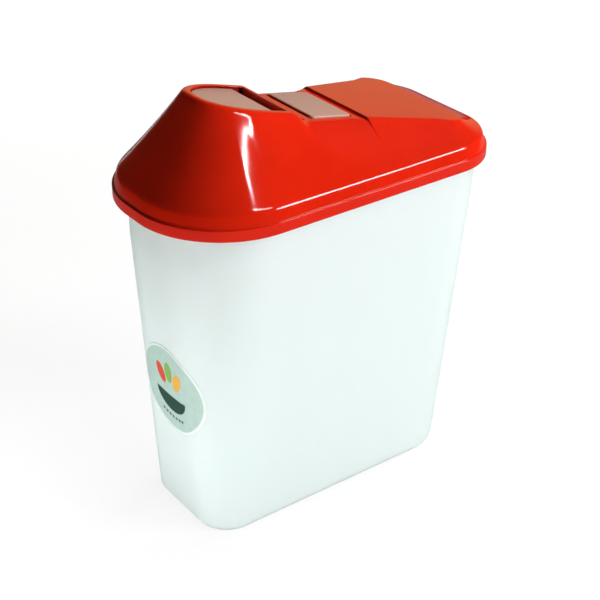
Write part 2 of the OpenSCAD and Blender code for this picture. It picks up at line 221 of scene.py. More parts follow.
def mix(a, b, t):
    return a + (b - a) * t


def ease(a, b, t):
    """Like mix, but starts and ends level."""
    return mix(a, b, (1 - math.cos(math.pi * t)) / 2)


# The lid's inner face: where its skirt starts and where it creases, behind the outer one
SKIRT_IN_Z = SKIRT_Z + 0.5
CREASE_IN_Z = SHOULDER_Z - LID_WALL * 0.55
CREASE_IN = SHOULDER_INSET + LID_WALL * 0.9


def skirt_in(z):
    """Inset of the skirt's inner face."""
    return mix(LIP_PROUD + LID_WALL, CREASE_IN, (z - SKIRT_IN_Z) / (CREASE_IN_Z - SKIRT_IN_Z))


FLANGE_INSET = skirt_in(BOX_HEIGHT) + SKIRT_GAP
SEAT_INSET = FLANGE_INSET + SEAT_SETBACK
DECK_SLOPE = (WAIST_RISE - DECK_RISE) / (DECK_REAR - DECK_FRONT)


def nose_z(x):
    return TIP_Z - NOSE_SLOPE * (x - NOSE_TIP)


def deck_z(x):
    return SHOULDER_Z + WAIST_RISE - DECK_SLOPE * (x - DECK_FRONT)


STRIP_Z = deck_z(STEP_FOOT) - STRIP_DROP
SHELF_Z = deck_z(DECK_FRONT) - DECK_STEP


def sharp_top_z(x):
    """Height of the lid's top along its length: nose, step, strip and well, riser, deck."""
    if x <= NOSE_BACK:
        return nose_z(x)
    if x <= STEP_FOOT:
        return mix(nose_z(NOSE_BACK), STRIP_Z, (x - NOSE_BACK) / STEP_LENGTH)
    if x <= DECK_FRONT:
        return mix(STRIP_Z, SHELF_Z, (x - STEP_FOOT) / (DECK_FRONT - STEP_FOOT))
    if x <= DECK_FRONT + DECK_RISER:
        return mix(SHELF_Z, deck_z(x), (x - DECK_FRONT) / DECK_RISER)
    return deck_z(x)


def averaged(f, x, reach):
    """Mean of f over a short reach each side, which rounds its corners."""
    count = AVERAGED_PLACES
    return sum(f(x + reach * (2 * i / (count - 1) - 1)) for i in range(count)) / count


def top_z(x):
    return averaged(sharp_top_z, x, REAR_SOFT if x > PAD_FRONT else NOSE_SOFT)


FAIR_X = NOSE_TIP + FAIR_SETBACK


def fair_z(x):
    """Height of the top without its steps, which the sides lead up to."""
    if x <= FAIR_X:
        return nose_z(x)
    if x <= DECK_FRONT:
        return mix(nose_z(FAIR_X), deck_z(DECK_FRONT), (x - FAIR_X) / (DECK_FRONT - FAIR_X))
    return deck_z(x)


PIVOT_X = NOSE_BACK - PIVOT_SETBACK
PIVOT_Z = nose_z(PIVOT_X) - PIVOT_DEPTH
BARREL_ROOM = BARREL_RADIUS + FLAP_GAP
THROAT_HALF = NOSE_HALF - SPOUT_RIM
THROAT_TIP = NOSE_TIP + SPOUT_RIM
CROSS_FRONT = PIVOT_X - CHEEK
CROSS_REAR = PIVOT_X
BRIDGE_FRONT = PIVOT_X + BRIDGE_SETBACK
BEND_X = PIVOT_X - BEND_SETBACK
LEDGE_REAR = BEND_X - FLAP_WALL - LEDGE_GAP
PANEL_TIP = THROAT_TIP + FLAP_GAP
WEB_TOP = STRIP_Z - LID_TOP - FLAP_GAP - WEB_EXTRA_GAP
WEB_REAR = sharp_top_z(STRIP_REAR) - LID_TOP - FLAP_GAP - WEB_EXTRA_GAP
FLAP_HALF = THROAT_HALF - FLAP_GAP
WEB_HALF = FLAP_HALF - PAD_RADIUS - WEB_INSET
FLAP_OPEN = math.radians(FLAP_OPEN_DEGREES)

# Heights on the barrel, as shares of its radius, where the panel and the web join it
PANEL_JOINS = 0.75
WEB_JOINS = 0.6


def panel_z(x):
    return nose_z(x) - PANEL_RECESS


def bent_panel_z(x):
    """Top of the flap's front: level with the rim, then down to the barrel."""
    if x <= BEND_X:
        return panel_z(x)
    barrel_z = PIVOT_Z + PANEL_JOINS * BARREL_RADIUS
    return mix(panel_z(BEND_X), barrel_z, (x - BEND_X) / BEND_SETBACK)


def flap_z(x):
    return averaged(bent_panel_z, x, BEND_SOFT)


def pad_z(x):
    return deck_z(x) - PAD_RECESS


def turned(x, z):
    """Where a point of the closed flap lies when the flap is fully open."""
    dx, dz = x - PIVOT_X, z - PIVOT_Z
    c, s = math.cos(FLAP_OPEN), math.sin(FLAP_OPEN)
    return PIVOT_X + dx * c + dz * s, PIVOT_Z - dx * s + dz * c


OPEN_FRONT = turned(PAD_FRONT, WEB_REAR - FLAP_WALL)
OPEN_REAR = turned(PAD_REAR, pad_z(PAD_REAR) - FLAP_WALL)
FLOOR_SLOPE = (OPEN_FRONT[1] - OPEN_REAR[1]) / (OPEN_REAR[0] - OPEN_FRONT[0])
FLOOR_LOW = OPEN_REAR[0] + ROOM_BEHIND_PAD


def floor_z(x):
    """Height of the well's floor, which slopes along the underside of the open flap."""
    return OPEN_REAR[1] - ROOM_BELOW_PAD - FLOOR_SLOPE * (x - OPEN_REAR[0])


WELL_Z = floor_z(FLOOR_LOW)

# ---- outlines in plan ------------------------------------------------------------------
# A half outline is a list of places along and across, from the front to the rear.


def quarter(steps):
    """Angles from 0 to a right angle."""
    return [math.pi / 2 * i / steps for i in range(steps + 1)]


def circle(steps):
    return [2 * math.pi * i / steps for i in range(steps)]


def rear_arc(xr, half, r):
    return [(xr - r * (1 - math.sin(a)), half - r * (1 - math.cos(a)))
            for a in quarter(REAR_STEPS)]


def half_plan(xf, xr, front_half, rear_half, rf, rr, side=()):
    """Half of an outline from front to rear: an arc, the side's own points and an arc."""
    front = [(xf + rf * (1 - math.cos(a)), front_half - rf * (1 - math.sin(a)))
             for a in quarter(FRONT_STEPS)]
    return front + list(side) + rear_arc(xr, rear_half, rr)


def box_plan(z, d):
    """The container at height z, set in by d. Its front stands upright in the collar."""
    t = z / BOX_HEIGHT
    front_t = averaged(lambda h: min(1, h / COLLAR_Z), z, COLLAR_SOFT)
    half = mix(BASE_HALF, RIM_HALF, t) - d
    return half_plan(
        mix(BASE_FRONT, RIM_FRONT, front_t) + d, mix(BASE_REAR, RIM_REAR, t) - d, half, half,
        max(SMALLEST_RADIUS, mix(BASE_FRONT_RADIUS, RIM_FRONT_RADIUS, t) - d),
        max(SMALLEST_RADIUS, mix(BASE_REAR_RADIUS, RIM_REAR_RADIUS, t) - d))


def stretch(a, b, step):
    """Even places from a on, up to b but without it, about a step apart."""
    count = max(1, round((b - a) / step))
    return [mix(a, b, i / count) for i in range(count)]


# Places along the lid's sides, close together where the top steps: where each run starts
# and the step in it. The last row only ends the run before it.
FRONT_END = X_FRONT + LID_FRONT_RADIUS
RUNS = [(FRONT_END + 1.2, 1.4), (NOSE_BACK - 2, 0.55), (STEP_FOOT + 2, 1.5),
        (DECK_FRONT - 1.5, 0.25), (DECK_FRONT + 2, 2.2), (X_REAR - LID_REAR_RADIUS - 1, None)]
STATIONS = [x for (start, step), (end, _) in zip(RUNS, RUNS[1:])
            for x in stretch(start, end, step)]


def lid_plan(d, stations=STATIONS):
    half = LID_WIDTH / 2 - d
    return half_plan(X_FRONT + d, X_REAR - d, half, half, LID_FRONT_RADIUS - d,
                     LID_REAR_RADIUS - d, [(x, half) for x in stations])


def nose_half_at(x):
    """Half width of the nose, which widens from its tip along a full oval."""
    t = min(1, max(0, (WIDE_NOSE - x) / NOSE_TAPER))
    return NOSE_HALF * (1 - t ** NOSE_POWER) ** (1 / NOSE_POWER)


def set_in(x, y, d):
    """Point of the nose's oval moved inwards by d, square to the oval."""
    t = min(1, max(0, (WIDE_NOSE - x) / NOSE_TAPER))
    along = (t ** (NOSE_POWER - 1)) / NOSE_TAPER
    across = (max(0.0, nose_half_at(x)) / NOSE_HALF) ** (NOSE_POWER - 1) / NOSE_HALF
    size = math.hypot(along, across)
    return x + d * along / size, y - d * across / size


# Angle of the oval's first point, close to the tip and off the middle line
OVAL_START = 0.08


def nose_front(d, end, steps):
    """The oval from near its tip back to the place end, set in by d."""
    last = math.acos(((WIDE_NOSE - end) / NOSE_TAPER) ** (NOSE_POWER / 2))
    points = []
    for i in range(steps + 1):
        a = mix(OVAL_START, last, i / steps)
        x = WIDE_NOSE - NOSE_TAPER * math.cos(a) ** (2 / NOSE_POWER)
        points.append(set_in(x, NOSE_HALF * math.sin(a) ** (2 / NOSE_POWER), d))
    return points


def deck_half_at(x):
    return mix(DECK_FRONT_HALF, DECK_HALF, (x - DECK_FRONT) / (DECK_REAR - DECK_FRONT))


def sharp_waist_at(x):
    """Half width of the top, which narrows behind the nose and widens to the deck."""
    if x <= NOSE_BACK:
        return nose_half_at(x)
    if x <= STEP_FOOT:
        return ease(NOSE_HALF, WAIST_HALF, (x - NOSE_BACK) / STEP_LENGTH)
    if x <= FLARE_FRONT:
        return WAIST_HALF
    if x <= DECK_FRONT:
        return ease(WAIST_HALF, DECK_FRONT_HALF, (x - FLARE_FRONT) / (DECK_FRONT - FLARE_FRONT))
    return deck_half_at(x)


def sharp_fair_at(x):
    """Half width of the top without its waist."""
    if x <= NOSE_BACK:
        return nose_half_at(x)
    if x <= DECK_FRONT:
        return mix(NOSE_HALF, DECK_FRONT_HALF, (x - NOSE_BACK) / (DECK_FRONT - NOSE_BACK))
    return deck_half_at(x)


def waist_half_at(x):
    return averaged(sharp_waist_at, x, WAIST_SOFT)


def fair_half_at(x):
    return averaged(sharp_fair_at, x, FAIR_SOFT)


def outline(d, half_at):
    """Half outline of the top, set in by d, point for point with that of lid_plan."""
    return (nose_front(d, FRONT_END, FRONT_STEPS) + [set_in(x, half_at(x), d) for x in STATIONS]
            + rear_arc(DECK_REAR - d, DECK_HALF - d, DECK_RADIUS - d))


def at(plan, z):
    return [(x, y, z) for x, y in plan]


def lid_ring(d, z):
    return at(lid_plan(d), z)


# Highest point of the lid, at the tip of the nose behind its rounded edge
CREST_Z = TIP_Z - NOSE_SLOPE * EDGE_ROUND


def on_top(d, drop):
    """Ring on the top, set in by d and drop below it, level where the nose ends."""
    return [(x, y, min(top_z(x) - drop, CREST_Z)) for x, y in outline(d, waist_half_at)]


def on_side(low_inset, low_z, top_inset, drop, t):
    """Ring at a share t of the way up the sides. The sides are hollow, and the waist and
    the steps of the top fade out downwards."""
    # Blended with the top, this leaves the full hollow half way up and none at the ends
    low = lid_plan(low_inset + 4 * t * SIDE_HOLLOW)
    fair = outline(top_inset, fair_half_at)
    top = outline(top_inset, waist_half_at)
    faded = t ** FADE_POWER
    ring = []
    for (lx, ly), (x, fy), (_, ty) in zip(low, fair, top):
        z = mix(fair_z(x), top_z(x), faded) - drop
        ring.append((mix(lx, x, t), mix(ly, mix(fy, ty, faded), t), mix(low_z, z, t)))
    return ring


def bezier(a, b, c, steps):
    """Rings that bend from ring a to ring c, drawn towards ring b, without a and c."""
    rings = []
    for i in range(1, steps):
        t = i / steps
        w = ((1 - t) ** 2, 2 * t * (1 - t), t * t)
        rings.append([tuple(sum(w[k] * p[k][j] for k in range(3)) for j in range(3))
                      for p in zip(a, b, c)])
    return rings


def bent(a, b, c, steps=EDGE_STEPS):
    return [a] + bezier(a, b, c, steps) + [c]


def rounded(ring_at, *places):
    """Rings round a corner, from the inset and height of its start, its tip and its end."""
    return bent(*(ring_at(d, z) for d, z in places))


# ---- mesh building ---------------------------------------------------------------------

class Shape:
    """Points in millimetres and faces, gathered into one mesh."""

    def __init__(self):
        self.points = []
        self.faces = []

    def add(self, points):
        first = len(self.points)
        self.points.extend(points)
        return list(range(first, first + len(points)))

    def skin(self, rings, closed=True):
        """Quads between rings of equal count. A closed ring runs round both halves."""
        rows = [self.add(ring) for ring in rings]
        count = len(rows[0])
        for low, high in zip(rows, rows[1:]):
            for i in range(count if closed else count - 1):
                j = (i + 1) % count
                self.faces.append((low[i], high[i], high[j], low[j]))
        return rows

    def strips(self, half, upward=True):
        """Strips across the width between the two halves of an outline."""
        near = self.add(half)
        far = self.add(mirrored(half))
        for i in range(len(half) - 1):
            face = (near[i], far[i], far[i + 1], near[i + 1])
            self.faces.append(face if upward else face[::-1])

    def prism(self, profile, y0, y1):
        """A profile in X and Z, run across the width from y0 to y1."""
        following = profile[1:] + profile[:1]
        area = sum(x0 * z1 - x1 * z0 for (x0, z0), (x1, z1) in zip(profile, following))
        if area < 0:
            profile = profile[::-1]
        near = self.add([(x, y0, z) for x, z in profile])
        far = self.add([(x, y1, z) for x, z in profile])
        count = len(profile)
        self.faces.append(tuple(near))
        self.faces.append(tuple(far[::-1]))
        for i in range(count):
            j = (i + 1) % count
            self.faces.append((near[i], far[i], far[j], near[j]))

    def object(self, name, material, body, *nodes, smooth=40):
        """The piece, on its body and in place of nodes. Edges over smooth degrees stay sharp."""
        mesh = bpy.data.meshes.new(name)
        mesh.from_pydata([(x * MM, y * MM, z * MM) for x, y, z in self.points], [], self.faces)
        mesh.materials.append(material)
        piece = bpy.data.objects.new(name, mesh)
        bpy.context.collection.objects.link(piece)
        weld(mesh)
        mesh.polygons.foreach_set("use_smooth", [True] * len(mesh.polygons))
        mesh.set_sharp_from_angle(angle=math.radians(smooth))
        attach(piece, body)
        if nodes:
            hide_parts(*nodes)


# Points closer than this become one, and edges shorter than this are dropped, in millimetres
WELD = 0.004
SLIVER = 0.002


def weld(mesh):
    work = bmesh.new()
    work.from_mesh(mesh)
    bmesh.ops.remove_doubles(work, verts=work.verts, dist=WELD * MM)
    bmesh.ops.dissolve_degenerate(work, edges=work.edges, dist=SLIVER * MM)
    work.to_mesh(mesh)
    work.free()


def mirrored(half):
    return [(x, -y, z) for x, y, z in half]


def whole(half):
    """Closed ring from half an outline."""
    return half + mirrored(half)[::-1]


def horseshoe(half):
    """Run from the rear of one side round the front to the rear of the other."""
    return mirrored(half)[::-1] + half


# ---- container -------------------------------------------------------------------------

# Heights of the rings up the walls, close together where the front bends to the collar
WALL_HEIGHTS = [60, 110, 150, 180] + stretch(COLLAR_Z - 5, COLLAR_Z + 5, 1) + [215]
# How far the foot ring's inner face leans, how far under the flange the wall turns out to
# it, and how far under the rim the inner face starts
FOOT_LEAN = 1
FLANGE_SLOPE = 1
MOUTH_DEPTH = 3


def round_rings(radius, lift, inset):
    """Rings round the edge between a floor and the walls."""
    rings = []
    for a in quarter(ROUND_STEPS):
        z = lift + radius * (1 - math.cos(a))
        rings.append(whole(at(box_plan(z, inset + radius * (1 - math.sin(a))), z)))
    return rings


def wall_rings(low, high, inset):
    return [whole(at(box_plan(z, inset), z)) for z in [low + 1] + WALL_HEIGHTS + [high]]


def flange_ring(inset, z):
    return whole(at(lid_plan(FLANGE_INSET + inset, ()), z))


def mouth_ring(inset, z):
    """Ring of the wall's inner face at the rim, lowered or raised to z."""
    return whole(at(box_plan(BOX_HEIGHT, BOX_WALL + inset), z))


def container_shell(material):
    shape = Shape()
    top = BOX_HEIGHT
    flange_z = top - FLANGE_HEIGHT
    floor_top = FOOT_HEIGHT + BOX_FLOOR
    foot = BASE_ROUND + FOOT_WIDTH
    floor_under = at(box_plan(0, foot + FOOT_LEAN), FOOT_HEIGHT)
    low, high = FLANGE_ROUND_LOW, FLANGE_ROUND_TOP
    low_start = (low, flange_z - FLANGE_ROUND_DROP)
    shape.skin(
        [whole(floor_under), whole(at(box_plan(0, foot), 0))]
        + round_rings(BASE_ROUND, 0, 0)
        + wall_rings(BASE_ROUND, flange_z - FLANGE_SLOPE, 0)
        + rounded(flange_ring, low_start, (0, flange_z), (0, flange_z + low))
        + rounded(flange_ring, (0, top - high), (0, top), (high, top))
        + rounded(mouth_ring, (-SHARP_ROUND, top), (0, top), (0, top - SHARP_ROUND))
        + wall_rings(BASE_ROUND, top - MOUTH_DEPTH, BOX_WALL)[::-1]
        + round_rings(BASE_ROUND - BOX_WALL, floor_top, BOX_WALL)[::-1])
    shape.strips(floor_under, upward=False)
    shape.strips(at(box_plan(floor_top, BASE_ROUND), floor_top))
    shape.object("container_shell", material, "container_body", "container")


# ---- lid -------------------------------------------------------------------------------

def throat_plan(grow, rear):
    """Half outline of the spout: a tongue with an oval tip and a square rear end."""
    tip = nose_front(SPOUT_RIM - grow, WIDE_NOSE, THROAT_STEPS)
    return tip + [(mix(WIDE_NOSE, rear, (i + 1) / THROAT_STEPS), THROAT_HALF + grow)
                  for i in range(THROAT_STEPS)]


def well_plan(grow):
    """Half outline of the opening for the pad."""
    half = THROAT_HALF + grow
    return [(STRIP_REAR - grow, half), (WELL_REAR + grow, half)]


def interpolated(plan, x):
    """Half width of a half outline at the place x."""
    for (x0, y0), (x1, y1) in zip(plan, plan[1:]):
        if x0 <= x <= x1 and x1 > x0:
            return mix(y0, y1, (x - x0) / (x1 - x0))
    return plan[0][1] if x < plan[0][0] else plan[-1][1]


def columns(shape, border, holes, z_at, upward=True):
    """Strips across the top from edge to edge, left open over the holes."""
    low, high = border[0][0], border[-1][0]
    # Rounded, so that places that fall together count once
    places = sorted({round(x, 6) for plan in [border] + holes for x, _ in plan
                     if low <= x <= high})
    for x0, x1 in zip(places, places[1:]):
        middle = (x0 + x1) / 2
        hole = next((h for h in holes if h[0][0] < middle < h[-1][0]), None)
        edge = [interpolated(border, x) for x in (x0, x1)]
        inner = [interpolated(hole, x) if hole else 0 for x in (x0, x1)]
        z0, z1 = z_at(x0), z_at(x1)
        for side in (-1, 1):
            quad = shape.add([(x0, side * inner[0], z0), (x1, side * inner[1], z1),
                              (x1, side * edge[1], z1), (x0, side * edge[0], z0)])
            shape.faces.append(tuple(quad if (side > 0) == upward else quad[::-1]))


def hole_edge(shape, plan_at):
    """Small round along the edge of a hole in the top."""
    rings = []
    for a in quarter(EDGE_STEPS):
        plan = plan_at(SHARP_ROUND * (1 - math.sin(a)))
        drop = SHARP_ROUND * (1 - math.cos(a))
        rings.append(whole([(x, y, top_z(x) - drop) for x, y in plan]))
    shape.skin(rings)


def lowest_top(x):
    """The top here or just in front, so that the wall isn't thin at the riser's foot."""
    return min(top_z(x), top_z(x - 1.2 * LID_TOP))


def throat_bottom(x):
    """Lower edge of the throat's wall."""
    tip_low = panel_z(PANEL_TIP) - FLAP_WALL - THROAT_DEPTH
    return mix(tip_low, PIVOT_Z - THROAT_DEPTH, (x - PANEL_TIP) / (PIVOT_X - PANEL_TIP))


def band(shape, plans):
    """Wall round the front of the spout, whose section is one point of each half outline."""
    rings = [horseshoe(plan) for plan in plans]
    rows = shape.skin(rings + rings[:1], closed=False)[:-1]
    shape.faces.append(tuple(row[0] for row in rows))
    shape.faces.append(tuple(row[-1] for row in rows[::-1]))


def tilted(plan, z_at, drop=0):
    """An outline laid on a sloping height, or drop below it."""
    return [(x, y, z_at(x) - drop) for x, y in plan]


# How far the ledge reaches into the throat's wall
LEDGE_ROOT = 0.3


def spout_walls(shape):
    """The throat's wall, and the ledge on it that stops the flap."""
    inner, outer = throat_plan(0, BRIDGE_FRONT), throat_plan(CHEEK, BRIDGE_FRONT)
    band(shape, [tilted(inner, top_z, SHARP_ROUND), tilted(inner, throat_bottom),
                 tilted(outer, throat_bottom), tilted(outer, top_z, BURIED)])
    seat, lip = throat_plan(LEDGE_ROOT, LEDGE_REAR), throat_plan(-LEDGE, LEDGE_REAR)
    drop = FLAP_WALL + LEDGE_GAP
    band(shape, [tilted(seat, panel_z, drop), tilted(lip, panel_z, drop),
                 tilted(lip, panel_z, drop + LEDGE), tilted(seat, panel_z, drop + LEDGE)])


def cross_bar(shape, profile):
    """Bar across the lid that reaches a little into the cheeks at both ends."""
    shape.prism(profile, -THROAT_HALF - OVERLAP, THROAT_HALF + OVERLAP)


# Thickness of the well's sloping floor, measured upright, and how far its foot is drawn in
SLOPE_WALL = 1.4 * CHEEK
SLOPE_FOOT = 0.4 * CHEEK


def well_walls(shape):
    """The cheeks that hold the pins, and the well's floor, rear wall and front wall."""
    low = floor_z(CROSS_REAR) - SLOPE_WALL
    under = WELL_Z - CHEEK
    rear = WELL_REAR + CHEEK
    rear_top = top_z(WELL_REAR)
    barrel_z = PIVOT_Z - BARREL_ROOM
    stops = ([CROSS_FRONT] + [x for x in STATIONS if BRIDGE_FRONT < x < WELL_REAR]
             + [WELL_REAR, rear])
    for side in (-1, 1):
        near, far = side * THROAT_HALF, side * (THROAT_HALF + CHEEK)
        sections = []
        for x in stops:
            bottom = max(floor_z(max(x, CROSS_REAR)) - SLOPE_WALL, under)
            section = [(x, near, top_z(x) - SHARP_ROUND), (x, near, bottom),
                       (x, far, bottom), (x, far, top_z(x) - BURIED)]
            sections.append(section[::-side])
        shape.skin(sections)
    cross_bar(shape, [(CROSS_REAR, floor_z(CROSS_REAR)), (FLOOR_LOW, WELL_Z),
                      (WELL_REAR, WELL_Z), (WELL_REAR, under),
                      (FLOOR_LOW - SLOPE_FOOT, under), (CROSS_REAR, low)])
    cross_bar(shape, [(WELL_REAR, rear_top - SHARP_ROUND), (rear, rear_top - BURIED),
                      (rear, under), (WELL_REAR, under)])
    cross_bar(shape, [(CROSS_FRONT, barrel_z), (CROSS_REAR, barrel_z),
                      (CROSS_REAR, low), (CROSS_FRONT, low)])


def bridge(shape):
    """Bar between the spout and the well, under the top, that covers the barrel and the
    web. It lies a little under the top's skin, and its corners keep clear of the bends."""
    sunk = 0.6
    short = 0.3
    front, foot = NOSE_BACK - short, STEP_FOOT - short
    barrel_z = PIVOT_Z + BARREL_ROOM
    strip_top = top_z(STRIP_REAR)
    cross_bar(shape, [(BRIDGE_FRONT, barrel_z), (BRIDGE_FRONT, top_z(BRIDGE_FRONT) - SHARP_ROUND),
                      (front, top_z(front) - sunk), (foot, top_z(STEP_FOOT) - sunk),
                      (STRIP_REAR, strip_top - SHARP_ROUND), (STRIP_REAR, strip_top - LID_TOP),
                      (STEP_FOOT - 2 * short, STRIP_Z - LID_TOP),
                      (NOSE_BACK - 0.4, nose_z(NOSE_BACK) - LID_TOP - 0.8),
                      (BRIDGE_FRONT + LID_TOP, barrel_z)])


def seat_rib(shape):
    """Rib inside the lid that sits on the container's rim."""
    places = ((0, BOX_HEIGHT), (0, SHOULDER_Z), (SEAT_WIDTH, SHOULDER_Z), (SEAT_WIDTH, BOX_HEIGHT))
    rings = [whole(at(lid_plan(SEAT_INSET + d, ()), z)) for d, z in places]
    shape.skin(rings + rings[:1])


def lid_hood(material):
    shape = Shape()
    wall_in = LID_WALL / 3
    lip_in = LID_WALL + 0.2

    def side(t):
        return on_side(SHOULDER_INSET + CREASE_END, SHOULDER_Z, 0, 0, t)

    def inner_side(t):
        return on_side(CREASE_IN, CREASE_IN_Z, wall_in, LID_TOP + INNER_ROUND, t)

    def under(d, drop):
        return [(x, y, lowest_top(x) - LID_TOP - drop) for x, y in outline(d, waist_half_at)]

    def crease_ring(d, drop):
        return lid_ring(SHOULDER_INSET + d, SHOULDER_Z - drop)

    lip_low = rounded(lid_ring, (LIP_ROUND_LOW, LIP_Z), (0, LIP_Z), (0, LIP_Z + LIP_ROUND_LOW))
    lip_top = rounded(lid_ring, (0, SKIRT_Z - LIP_ROUND_TOP), (0, SKIRT_Z),
                      (LIP_ROUND_IN, SKIRT_Z))
    skirt_foot = rounded(lid_ring, (LIP_PROUD - SKIRT_FILLET, SKIRT_Z), (LIP_PROUD, SKIRT_Z),
                         (LIP_PROUD + SKIRT_LEAN, SKIRT_Z + SKIRT_FILLET))
    crease = bent(crease_ring(*CREASE_START), crease_ring(*CREASE_TIP), side(SIDE_START))
    brim = bent(side(SIDE_END), on_top(0, 0), on_top(EDGE_ROUND, 0), BRIM_STEPS)
    outside = (lip_low + lip_top + skirt_foot + crease
               + [side(t) for t in stretch(2 * SIDE_START, SIDE_END, SIDE_STEP)] + brim)
    inside = ([lid_ring(lip_in, LIP_Z), lid_ring(lip_in, SKIRT_Z - 1.5),
               lid_ring(LIP_PROUD + LID_WALL, SKIRT_IN_Z), lid_ring(CREASE_IN, CREASE_IN_Z)]
              + [inner_side(i / INNER_STEPS) for i in range(1, INNER_STEPS)]
              + [under(wall_in, INNER_ROUND), under(wall_in + INNER_ROUND, 0)])
    shape.skin([whole(ring) for ring in inside[::-1] + outside])
    holes = [throat_plan(SHARP_ROUND, BRIDGE_FRONT + SHARP_ROUND), well_plan(SHARP_ROUND)]
    columns(shape, [(x, y) for x, y, _ in outside[-1]], holes, top_z)
    columns(shape, [(x, y) for x, y, _ in inside[-1]], [throat_plan(CHEEK, WELL_REAR + CHEEK)],
            lambda x: lowest_top(x) - LID_TOP, upward=False)
    hole_edge(shape, lambda d: throat_plan(d, BRIDGE_FRONT + d))
    hole_edge(shape, well_plan)
    spout_walls(shape)
    well_walls(shape)
    bridge(shape)
    seat_rib(shape)
    shape.object("lid_hood", material, "lid_body", "lid")


# ---- spout flap ------------------------------------------------------------------------

def plate(shape, plan_at, z_at, wall, edge):
    """Plate with a rounded upper edge, its top at the height z_at."""
    rings = [whole(tilted(plan_at(0), z_at, wall))]
    for a in quarter(EDGE_STEPS):
        inset, drop = edge * (1 - math.cos(a)), edge * (1 - math.sin(a))
        rings.append(whole(tilted(plan_at(inset), z_at, drop)))
    shape.skin(rings)
    shape.strips(tilted(plan_at(edge), z_at))
    shape.strips(tilted(plan_at(0), z_at, wall), upward=False)


def spindle(shape, radius, half):
    """Round bar on the pivot's axis, chamfered at its ends."""
    rings = []
    for r, y in ((radius - CHAMFER, -half), (radius, -half + CHAMFER),
                 (radius, half - CHAMFER), (radius - CHAMFER, half)):
        rings.append([(PIVOT_X + r * math.cos(a), y, PIVOT_Z + r * math.sin(a))
                      for a in circle(SPINDLE_STEPS)])
    rows = shape.skin(rings)
    shape.faces.append(tuple(rows[0]))
    shape.faces.append(tuple(rows[-1][::-1]))


def pad_plan(d):
    r = PAD_RADIUS - d
    return half_plan(PAD_FRONT + d, PAD_REAR - d, FLAP_HALF - d, FLAP_HALF - d, r, r)


def web(shape):
    """Web under the bridge, from the barrel to the pad's front edge."""
    pad_under = pad_z(PAD_FRONT) - PAD_EDGE
    rear = PAD_FRONT + FLAP_WALL
    shape.prism([(PIVOT_X, PIVOT_Z + WEB_JOINS * BARREL_RADIUS), (STEP_FOOT, WEB_TOP),
                 (PAD_FRONT, WEB_REAR), (PAD_FRONT, pad_under), (rear, pad_under),
                 (rear, WEB_REAR - FLAP_WALL), (STEP_FOOT, WEB_TOP - FLAP_WALL),
                 (PIVOT_X, PIVOT_Z - WEB_JOINS * BARREL_RADIUS)], -WEB_HALF, WEB_HALF)


def rocking_flap(material):
    shape = Shape()
    plate(shape, lambda d: throat_plan(-FLAP_GAP - d, PIVOT_X), flap_z, FLAP_WALL, PANEL_EDGE)
    plate(shape, pad_plan, pad_z, FLAP_WALL, PAD_EDGE)
    web(shape)
    spindle(shape, BARREL_RADIUS, FLAP_HALF)
    spindle(shape, PIN_RADIUS, THROAT_HALF + CHEEK - PIN_END_GAP)
    shape.object("rocking_flap", material, "flap_body", "spout_flap")


# ---- label -----------------------------------------------------------------------------

LEAN = math.atan(FRONT_TAPER / COLLAR_Z)
LABEL_X = mix(BASE_FRONT, RIM_FRONT, LABEL_Z / COLLAR_Z)
LABEL_ROUNDS = 6


def front_x(y, z, d):
    """Where the container's front wall, set out by d, lies at width y and height z."""
    t = z / BOX_HEIGHT
    r = mix(BASE_FRONT_RADIUS, RIM_FRONT_RADIUS, t) + d
    half = mix(BASE_HALF, RIM_HALF, t) + d
    past = max(0, abs(y) - (half - r))
    return mix(BASE_FRONT, RIM_FRONT, z / COLLAR_Z) - d + r - math.sqrt(r * r - past * past)


def on_front(u, v, d):
    """Point of the front wall that faces a place on the label's own plane."""
    s = 0.0
    # s is how far the wall stands out from the plane. It settles in a few rounds.
    for _ in range(LABEL_ROUNDS):
        z = LABEL_Z + v * math.cos(LEAN) - s * math.sin(LEAN)
        s = -(front_x(u - LABEL_SHIFT, z, d) - LABEL_X + v * math.sin(LEAN)) / math.cos(LEAN)
    return (LABEL_X - v * math.sin(LEAN) - s * math.cos(LEAN), u - LABEL_SHIFT,
            LABEL_Z + v * math.cos(LEAN) - s * math.sin(LEAN))


def round_label(material):
    shape = Shape()
    face = [(radius, LABEL_WALL) for radius in [1] + list(range(3, 31, 3))]
    edge = [(LABEL_RADIUS - LABEL_ROUND, LABEL_WALL), (LABEL_RADIUS, LABEL_WALL - LABEL_ROUND),
            (LABEL_RADIUS, 0)]
    rows = shape.skin([[on_front(radius * math.cos(-a), radius * math.sin(-a), d)
                        for a in circle(LABEL_STEPS)] for radius, d in face + edge])
    shape.faces.append(tuple(rows[0]))
    shape.object("round_label", material, "container_body", "label", smooth=60)


# ---- materials -------------------------------------------------------------------------

POLYPROPYLENE_IOR = 1.49
FILM_IOR = 1.5

# The middle of a noise's range, where nearly all of its values lie
NOISE_MIDDLE = {"From Min": 0.3, "From Max": 0.7}


def linear(colour):
    """An sRGB hex colour as the linear values that the shader takes."""
    channels = [int(colour[i:i + 2], 16) / 255 for i in (0, 2, 4)]
    return [c / 12.92 if c <= 0.04045 else ((c + 0.055) / 1.055) ** 2.4 for c in channels] + [1]


def across(size):
    """Scale of a noise whose patches are about size millimetres across."""
    return 1 / (size * MM)


def add(tree, kind, inputs=(), **settings):
    """Adds a node. An input takes a value, another node's output, or another node, which
    stands for its first output."""
    made = tree.nodes.new("ShaderNode" + kind)
    for name, value in settings.items():
        setattr(made, name, value)
    for name, value in dict(inputs).items():
        if isinstance(value, bpy.types.Node):
            value = value.outputs[0]
        if isinstance(value, bpy.types.NodeSocket):
            tree.links.new(value, made.inputs[name])
        else:
            made.inputs[name].default_value = value
    return made


